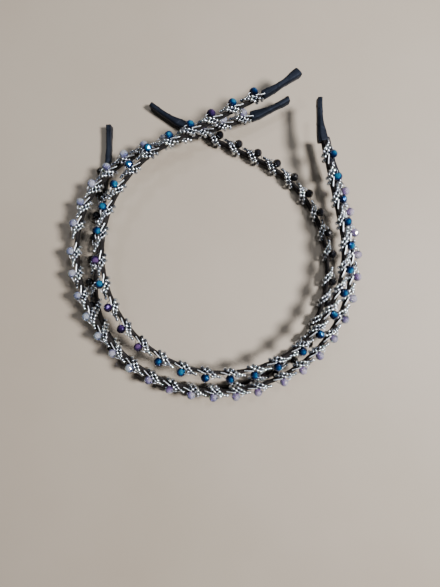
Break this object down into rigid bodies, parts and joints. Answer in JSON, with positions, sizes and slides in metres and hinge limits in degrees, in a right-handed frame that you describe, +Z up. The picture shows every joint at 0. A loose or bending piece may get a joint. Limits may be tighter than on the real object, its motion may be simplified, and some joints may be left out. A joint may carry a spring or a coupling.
{
  "type": "beaded headband set",
  "caption": "Nested set of slim C-shaped spring headbands wrapped with silver beads and crystals, with ribbon-covered ends.",
  "frame": {"origin": "centre of the set's bounding box in X and Y, on the surface it lies on", "axes": "+Z up through the ring, +Y along the longest side of the set, +X to the right seen from above"},
  "size_m": [0.1377, 0.1524, 0.019],
  "materials": {
    "spring_steel": "dark spring strip",
    "ribbon_sleeve": "dark grey satin ribbon, wound tight",
    "black_satin": "satin ribbon",
    "silver_beads": "bright silver",
    "silver_wire": "bright drawn wire",
    "black_crystal": "jet, faceted and polished",
    "clear_crystal": "clear to pale lavender with a rainbow coat",
    "blue_crystal": "dark blue iris coat, some purple"
  },
  "bodies": {
    "black_crown": {"black_crown_strip": "spring_steel", "black_crown_sleeve": "ribbon_sleeve", "black_crown_beads": "silver_beads", "black_crown_crystals": "black_crystal", "black_crown_wire": "silver_wire"},
    "black_left_arm": {"black_left_strip": "spring_steel", "black_left_sleeve": "ribbon_sleeve", "black_left_cover": "black_satin", "black_left_beads": "silver_beads", "black_left_crystals": "black_crystal", "black_left_wire": "silver_wire"},
    "black_right_arm": {"black_right_strip": "spring_steel", "black_right_sleeve": "ribbon_sleeve", "black_right_cover": "black_satin", "black_right_beads": "silver_beads", "black_right_crystals": "black_crystal", "black_right_wire": "silver_wire"},
    "clear_crown": {"clear_crown_strip": "spring_steel", "clear_crown_sleeve": "ribbon_sleeve", "clear_crown_beads": "silver_beads", "clear_crown_crystals": "clear_crystal", "clear_crown_wire": "silver_wire"},
    "clear_left_arm": {"clear_left_strip": "spring_steel", "clear_left_sleeve": "ribbon_sleeve", "clear_left_cover": "black_satin", "clear_left_beads": "silver_beads", "clear_left_crystals": "clear_crystal", "clear_left_wire": "silver_wire"},
    "clear_right_arm": {"clear_right_strip": "spring_steel", "clear_right_sleeve": "ribbon_sleeve", "clear_right_cover": "black_satin", "clear_right_beads": "silver_beads", "clear_right_crystals": "clear_crystal", "clear_right_wire": "silver_wire"},
    "blue_crown": {"blue_crown_strip": "spring_steel", "blue_crown_sleeve": "ribbon_sleeve", "blue_crown_beads": "silver_beads", "blue_crown_crystals": "blue_crystal", "blue_crown_wire": "silver_wire"},
    "blue_left_arm": {"blue_left_strip": "spring_steel", "blue_left_sleeve": "ribbon_sleeve", "blue_left_cover": "black_satin", "blue_left_beads": "silver_beads", "blue_left_crystals": "blue_crystal", "blue_left_wire": "silver_wire"},
    "blue_right_arm": {"blue_right_strip": "spring_steel", "blue_right_sleeve": "ribbon_sleeve", "blue_right_cover": "black_satin", "blue_right_beads": "silver_beads", "blue_right_crystals": "blue_crystal", "blue_right_wire": "silver_wire"}
  },
  "joints": [
    {"name": "black_left_flex", "type": "hinge", "parent": "black_crown", "child": "black_left_arm", "pos_m": [-0.04212, -0.05634, 0.0024], "axis": [0, 0, 1], "range_deg": [0, 25], "stiffness_Nm_per_rad": 0.5},
    {"name": "black_right_flex", "type": "hinge", "parent": "black_crown", "child": "black_right_arm", "pos_m": [0.05465, -0.01122, 0.0024], "axis": [0, 0, -1], "range_deg": [0, 25], "stiffness_Nm_per_rad": 0.5},
    {"name": "clear_left_flex", "type": "hinge", "parent": "clear_crown", "child": "clear_left_arm", "pos_m": [-0.06401, -0.00191, 0.0089], "axis": [0, 0, 1], "range_deg": [0, 25], "stiffness_Nm_per_rad": 0.5},
    {"name": "clear_right_flex", "type": "hinge", "parent": "clear_crown", "child": "clear_right_arm", "pos_m": [0.02772, -0.06614, 0.0089], "axis": [0, 0, -1], "range_deg": [0, 25], "stiffness_Nm_per_rad": 0.5},
    {"name": "blue_left_flex", "type": "hinge", "parent": "blue_crown", "child": "blue_left_arm", "pos_m": [-0.0508, -0.00626, 0.0154], "axis": [0, 0, 1], "range_deg": [0, 25], "stiffness_Nm_per_rad": 0.5},
    {"name": "blue_right_flex", "type": "hinge", "parent": "blue_crown", "child": "blue_right_arm", "pos_m": [0.03508, -0.05192, 0.0154], "axis": [0, 0, -1], "range_deg": [0, 25], "stiffness_Nm_per_rad": 0.5},
    {"name": "clear_lift", "type": "slide", "parent": "black_crown", "child": "clear_crown", "axis": [0, 0, 1], "range_m": [0, 0.05]},
    {"name": "blue_lift", "type": "slide", "parent": "clear_crown", "child": "blue_crown", "axis": [0, 0, 1], "range_m": [0, 0.05]}
  ],
  "couplings": [
    {"joint": "black_right_flex", "follows": "black_left_flex", "ratio": 1},
    {"joint": "clear_right_flex", "follows": "clear_left_flex", "ratio": 1},
    {"joint": "blue_right_flex", "follows": "blue_left_flex", "ratio": 1}
  ]
}
